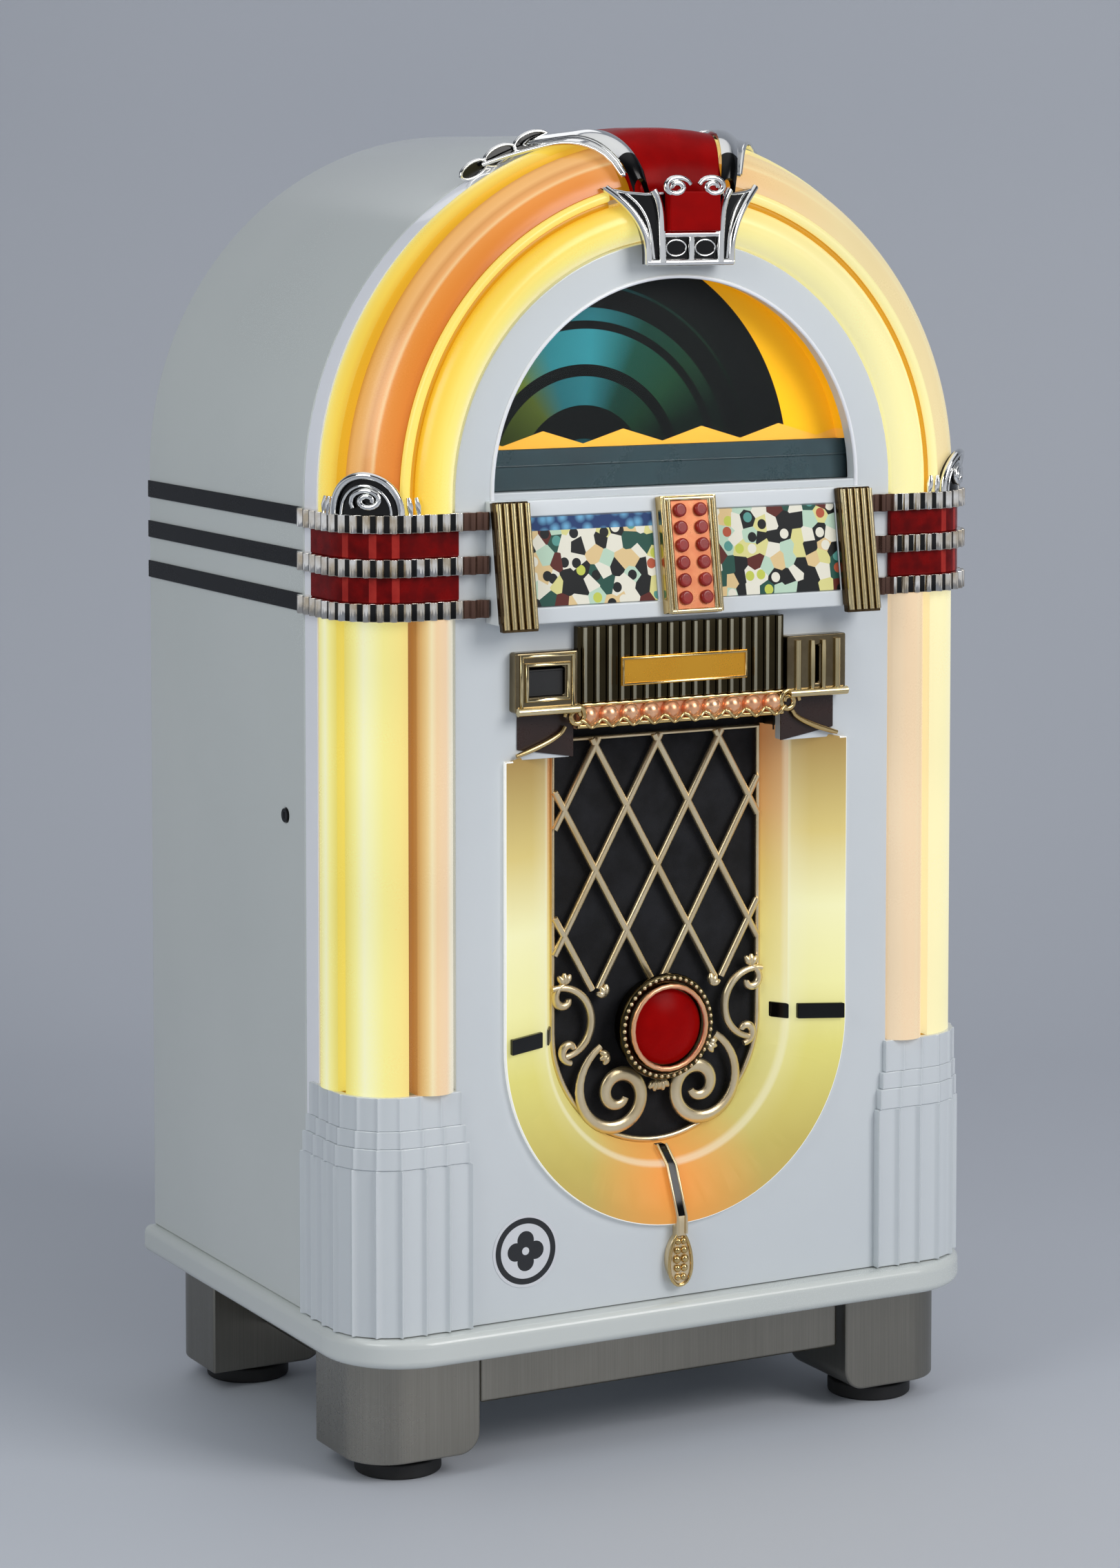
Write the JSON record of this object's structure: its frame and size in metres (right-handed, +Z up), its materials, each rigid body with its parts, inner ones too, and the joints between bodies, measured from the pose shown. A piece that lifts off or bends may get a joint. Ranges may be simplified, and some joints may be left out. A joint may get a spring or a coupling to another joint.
{
  "type": "cd jukebox",
  "caption": "Free-standing arch-topped compact disc jukebox: hinged front door with lit tubes, window, title panel, push buttons, coin section and speaker grille over a disc changer cabinet.",
  "frame": {"origin": "middle of the overall box on the floor, under the glides", "axes": "+Z up, the front faces -Y, +X to the viewer's right"},
  "size_m": [0.84, 0.6408, 1.5299],
  "materials": {
    "white_laminate": "gloss white laminate",
    "white_gloss": "gloss white moulding",
    "steel": "brushed",
    "black_rubber": "matt black",
    "board": "plain chipboard",
    "back_board": "black painted board",
    "zinc": "zinc plated",
    "black_plastic": "satin black",
    "stripe_black": "gloss black with bright ends",
    "speaker": "black basket and cone",
    "amplifier": "bare and finned",
    "deck": "satin",
    "magazine": "moulded",
    "disc": "mirror-backed clear disc",
    "hinge": "bright plated",
    "lock": "black",
    "yellow_lens": "lit translucent yellow",
    "orange_lens": "lit translucent orange",
    "peach_lens": "lit translucent peach",
    "red_lens": "translucent red",
    "lamp": "fluorescent tube",
    "chrome": "bright plated casting",
    "bronze": "antiqued casting",
    "gold": "gold plated casting",
    "rose_gold": "rose gold plated beads",
    "glass": "clear",
    "picture": "printed board",
    "title_card": "printed card",
    "cloth": "dark woven",
    "red_key": "gloss red"
  },
  "bodies": {
    "cabinet": {"base_moulding": "white_laminate", "base_feet": "steel", "glides": "black_rubber", "shelves": "board", "side_panels": "white_laminate", "arch_roof": "white_laminate", "back_panel": "back_board", "back_screws": "zinc", "mains_inlet": "black_plastic", "side_stripes": "stripe_black", "speaker_baffle": "back_board", "speakers": "speaker", "amplifier": "amplifier", "cash_box": "zinc", "player_deck": "deck", "cabinet_hinges": "hinge"},
    "front_door": {"door_frame": "white_gloss", "door_hinges": "hinge", "window_glass": "glass", "picture_board": "picture", "yellow_tubes": "yellow_lens", "orange_tube": "orange_lens", "peach_tubes": "peach_lens", "lamps": "lamp", "keystone": "chrome", "red_lenses": "red_lens", "scroll_ornaments": "chrome", "mid_bands": "chrome", "foot_castings": "white_gloss", "title_housing": "white_gloss", "title_cards": "title_card", "title_ends": "gold", "key_plate": "gold", "coin_apron": "bronze", "name_plate": "gold", "bead_rail": "rose_gold", "coin_boxes": "gold", "coin_validator": "black_plastic", "u_light": "yellow_lens", "grille_cloth": "cloth", "grille_lattice": "gold", "pendant": "gold"},
    "lock": {"lock_barrel": "lock"},
    "magazine": {"disc_magazine": "magazine", "compact_discs": "disc"},
    "transfer_arm": {"transfer_arm": "deck"},
    "spindle": {"disc_spindle": "zinc"},
    "coin_flap": {"coin_flap": "black_plastic"},
    "button_01": {"button_01": "red_key"},
    "button_02": {"button_02": "red_key"},
    "button_03": {"button_03": "red_key"},
    "button_04": {"button_04": "red_key"},
    "button_05": {"button_05": "red_key"},
    "button_06": {"button_06": "red_key"},
    "button_07": {"button_07": "red_key"},
    "button_08": {"button_08": "red_key"},
    "button_09": {"button_09": "red_key"},
    "button_10": {"button_10": "red_key"},
    "button_11": {"button_11": "red_key"},
    "button_12": {"button_12": "red_key"}
  },
  "joints": [
    {"name": "door_hinge", "type": "hinge", "parent": "cabinet", "child": "front_door", "pos_m": [0.411, -0.13207, 0.717], "axis": [0, 0, 1], "range_deg": [0, 100]},
    {"name": "lock_turn", "type": "hinge", "parent": "cabinet", "child": "lock", "pos_m": [-0.406, -0.07857, 0.744], "axis": [1, 0, 0], "range_deg": [0, 90]},
    {"name": "magazine_turn", "type": "hinge", "parent": "cabinet", "child": "magazine", "pos_m": [-0.15, 0.08443, 0.928], "axis": [0, 0, 1], "continuous": true},
    {"name": "arm_swing", "type": "hinge", "parent": "cabinet", "child": "transfer_arm", "pos_m": [0.0966, 0.10243, 1.0003], "axis": [0, 1, 0], "range_deg": [-80, 80]},
    {"name": "spindle_turn", "type": "hinge", "parent": "cabinet", "child": "spindle", "pos_m": [0.2136, 0.10243, 0.9943], "axis": [0, 1, 0], "continuous": true},
    {"name": "flap_swing", "type": "hinge", "parent": "front_door", "child": "coin_flap", "pos_m": [-0.178, -0.28257, 0.92], "axis": [1, 0, 0], "range_deg": [0, 60]},
    {"name": "press_01", "type": "slide", "parent": "front_door", "child": "button_01", "axis": [0, 0.9877, -0.1564], "range_m": [0, 0.003], "stiffness_N_per_m": 300},
    {"name": "press_02", "type": "slide", "parent": "front_door", "child": "button_02", "axis": [0, 0.9877, -0.1564], "range_m": [0, 0.003], "stiffness_N_per_m": 300},
    {"name": "press_03", "type": "slide", "parent": "front_door", "child": "button_03", "axis": [0, 0.9877, -0.1564], "range_m": [0, 0.003], "stiffness_N_per_m": 300},
    {"name": "press_04", "type": "slide", "parent": "front_door", "child": "button_04", "axis": [0, 0.9877, -0.1564], "range_m": [0, 0.003], "stiffness_N_per_m": 300},
    {"name": "press_05", "type": "slide", "parent": "front_door", "child": "button_05", "axis": [0, 0.9877, -0.1564], "range_m": [0, 0.003], "stiffness_N_per_m": 300},
    {"name": "press_06", "type": "slide", "parent": "front_door", "child": "button_06", "axis": [0, 0.9877, -0.1564], "range_m": [0, 0.003], "stiffness_N_per_m": 300},
    {"name": "press_07", "type": "slide", "parent": "front_door", "child": "button_07", "axis": [0, 0.9877, -0.1564], "range_m": [0, 0.003], "stiffness_N_per_m": 300},
    {"name": "press_08", "type": "slide", "parent": "front_door", "child": "button_08", "axis": [0, 0.9877, -0.1564], "range_m": [0, 0.003], "stiffness_N_per_m": 300},
    {"name": "press_09", "type": "slide", "parent": "front_door", "child": "button_09", "axis": [0, 0.9877, -0.1564], "range_m": [0, 0.003], "stiffness_N_per_m": 300},
    {"name": "press_10", "type": "slide", "parent": "front_door", "child": "button_10", "axis": [0, 0.9877, -0.1564], "range_m": [0, 0.003], "stiffness_N_per_m": 300},
    {"name": "press_11", "type": "slide", "parent": "front_door", "child": "button_11", "axis": [0, 0.9877, -0.1564], "range_m": [0, 0.003], "stiffness_N_per_m": 300},
    {"name": "press_12", "type": "slide", "parent": "front_door", "child": "button_12", "axis": [0, 0.9877, -0.1564], "range_m": [0, 0.003], "stiffness_N_per_m": 300}
  ]
}
